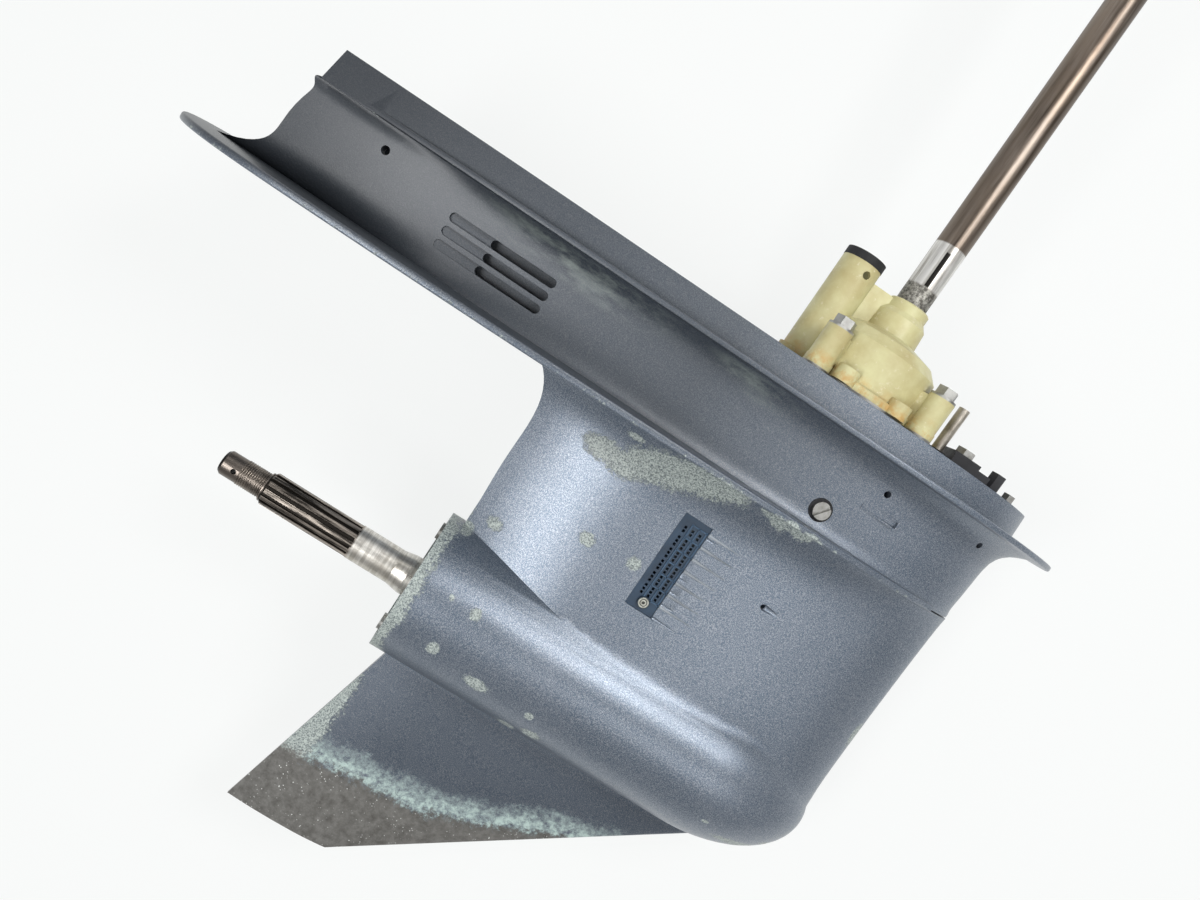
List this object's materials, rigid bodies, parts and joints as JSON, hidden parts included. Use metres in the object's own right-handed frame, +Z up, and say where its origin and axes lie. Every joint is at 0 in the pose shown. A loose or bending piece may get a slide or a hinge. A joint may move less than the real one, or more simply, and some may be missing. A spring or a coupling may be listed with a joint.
{
  "type": "outboard lower unit",
  "caption": "Outboard motor lower unit: gearcase with skeg and plates, bevel gear train, dog clutch, propeller shaft, drive shaft and water pump.",
  "frame": {"origin": "on the deck plane, on the drive-shaft axis, at the centre of the four leg bolt holes", "axes": "+X forward (bow), +Y port, +Z up along the drive shaft"},
  "size_m": [0.6665, 0.1902, 0.975],
  "materials": {
    "gearcase_paint": "cast, with satin metallic blue-grey paint",
    "screen_plastic": "satin",
    "pump_plastic": "aged cream",
    "black_plastic": "satin",
    "black_rubber": "matt",
    "bright_steel": "bright",
    "shaft_steel": "dark stained",
    "gear_steel": "ground",
    "carrier_metal": "cast and painted"
  },
  "bodies": {
    "gearcase": {"bearing_carrier": "carrier_metal", "carrier_bolts": "bright_steel", "carrier_needle_bearing": "gear_steel", "carrier_o_ring": "black_rubber", "deck_bolt": "bright_steel", "deck_plug": "black_plastic", "drive_shaft_bearing": "gear_steel", "drive_shaft_seals": "black_rubber", "forward_bearing_cup": "gear_steel", "forward_bearing_rollers": "gear_steel", "gearcase_housing": "gearcase_paint", "intake_screen_port": "screen_plastic", "intake_screen_starboard": "screen_plastic", "lever_pin": "gear_steel", "oil_drain_plug": "bright_steel", "oil_drain_seal": "black_rubber", "oil_level_plug": "bright_steel", "oil_level_seal": "black_rubber", "pinion_needle_bearing": "gear_steel", "propeller_shaft_seals": "black_rubber", "pump_base_plate": "bright_steel", "pump_gasket": "black_rubber", "pump_housing": "pump_plastic", "pump_liner": "bright_steel", "pump_screws": "bright_steel", "pump_shaft_seal": "black_rubber", "reverse_bearing_cup": "gear_steel", "reverse_bearing_rollers": "gear_steel", "screen_screw": "bright_steel", "shift_cover": "black_plastic", "shift_cover_bolt": "bright_steel", "shift_rod_bushing": "black_rubber", "water_tube_grommet": "black_rubber"},
    "drive_shaft": {"drive_shaft": "shaft_steel", "pinion_gear": "gear_steel", "pinion_nut": "gear_steel", "pump_impeller": "black_rubber", "impeller_key": "bright_steel"},
    "forward_gear": {"forward_gear": "gear_steel"},
    "reverse_gear": {"reverse_gear": "gear_steel"},
    "propeller_shaft": {"propeller_shaft": "shaft_steel"},
    "clutch_dog": {"clutch_dog": "gear_steel", "clutch_pin": "gear_steel", "clutch_pin_spring": "bright_steel", "clutch_slider": "gear_steel"},
    "shift_rod": {"shift_rod": "shaft_steel"},
    "shift_lever": {"shift_lever": "gear_steel"},
    "shift_cradle": {"shift_cradle": "gear_steel"}
  },
  "joints": [
    {"name": "drive_shaft_spin", "type": "hinge", "parent": "gearcase", "child": "drive_shaft", "pos_m": [0, 0, 0], "axis": [0, 0, 1], "continuous": true},
    {"name": "forward_gear_spin", "type": "hinge", "parent": "gearcase", "child": "forward_gear", "pos_m": [0, 0, -0.279], "axis": [1, 0, 0], "continuous": true},
    {"name": "reverse_gear_spin", "type": "hinge", "parent": "gearcase", "child": "reverse_gear", "pos_m": [0, 0, -0.279], "axis": [1, 0, 0], "continuous": true},
    {"name": "propeller_shaft_spin", "type": "hinge", "parent": "gearcase", "child": "propeller_shaft", "pos_m": [0, 0, -0.279], "axis": [1, 0, 0], "continuous": true},
    {"name": "clutch_dog_slide", "type": "slide", "parent": "propeller_shaft", "child": "clutch_dog", "axis": [1, 0, 0], "range_m": [-0.0036, 0.0036]},
    {"name": "shift_rod_slide", "type": "slide", "parent": "gearcase", "child": "shift_rod", "axis": [0, 0, 1], "range_m": [-0.0041, 0.0041]},
    {"name": "shift_lever_swing", "type": "hinge", "parent": "gearcase", "child": "shift_lever", "pos_m": [0.06, 0, -0.265], "axis": [0, 1, 0], "range_deg": [-14.7, 14.7]},
    {"name": "shift_cradle_slide", "type": "slide", "parent": "gearcase", "child": "shift_cradle", "axis": [1, 0, 0], "range_m": [-0.0036, 0.0036]}
  ],
  "couplings": [
    {"joint": "forward_gear_spin", "follows": "drive_shaft_spin", "ratio": -0.5},
    {"joint": "reverse_gear_spin", "follows": "drive_shaft_spin", "ratio": 0.5},
    {"joint": "clutch_dog_slide", "follows": "shift_rod_slide", "ratio": 0.875},
    {"joint": "shift_cradle_slide", "follows": "shift_rod_slide", "ratio": 0.875},
    {"joint": "shift_lever_swing", "follows": "shift_rod_slide", "rad_per_m": -62.5}
  ]
}
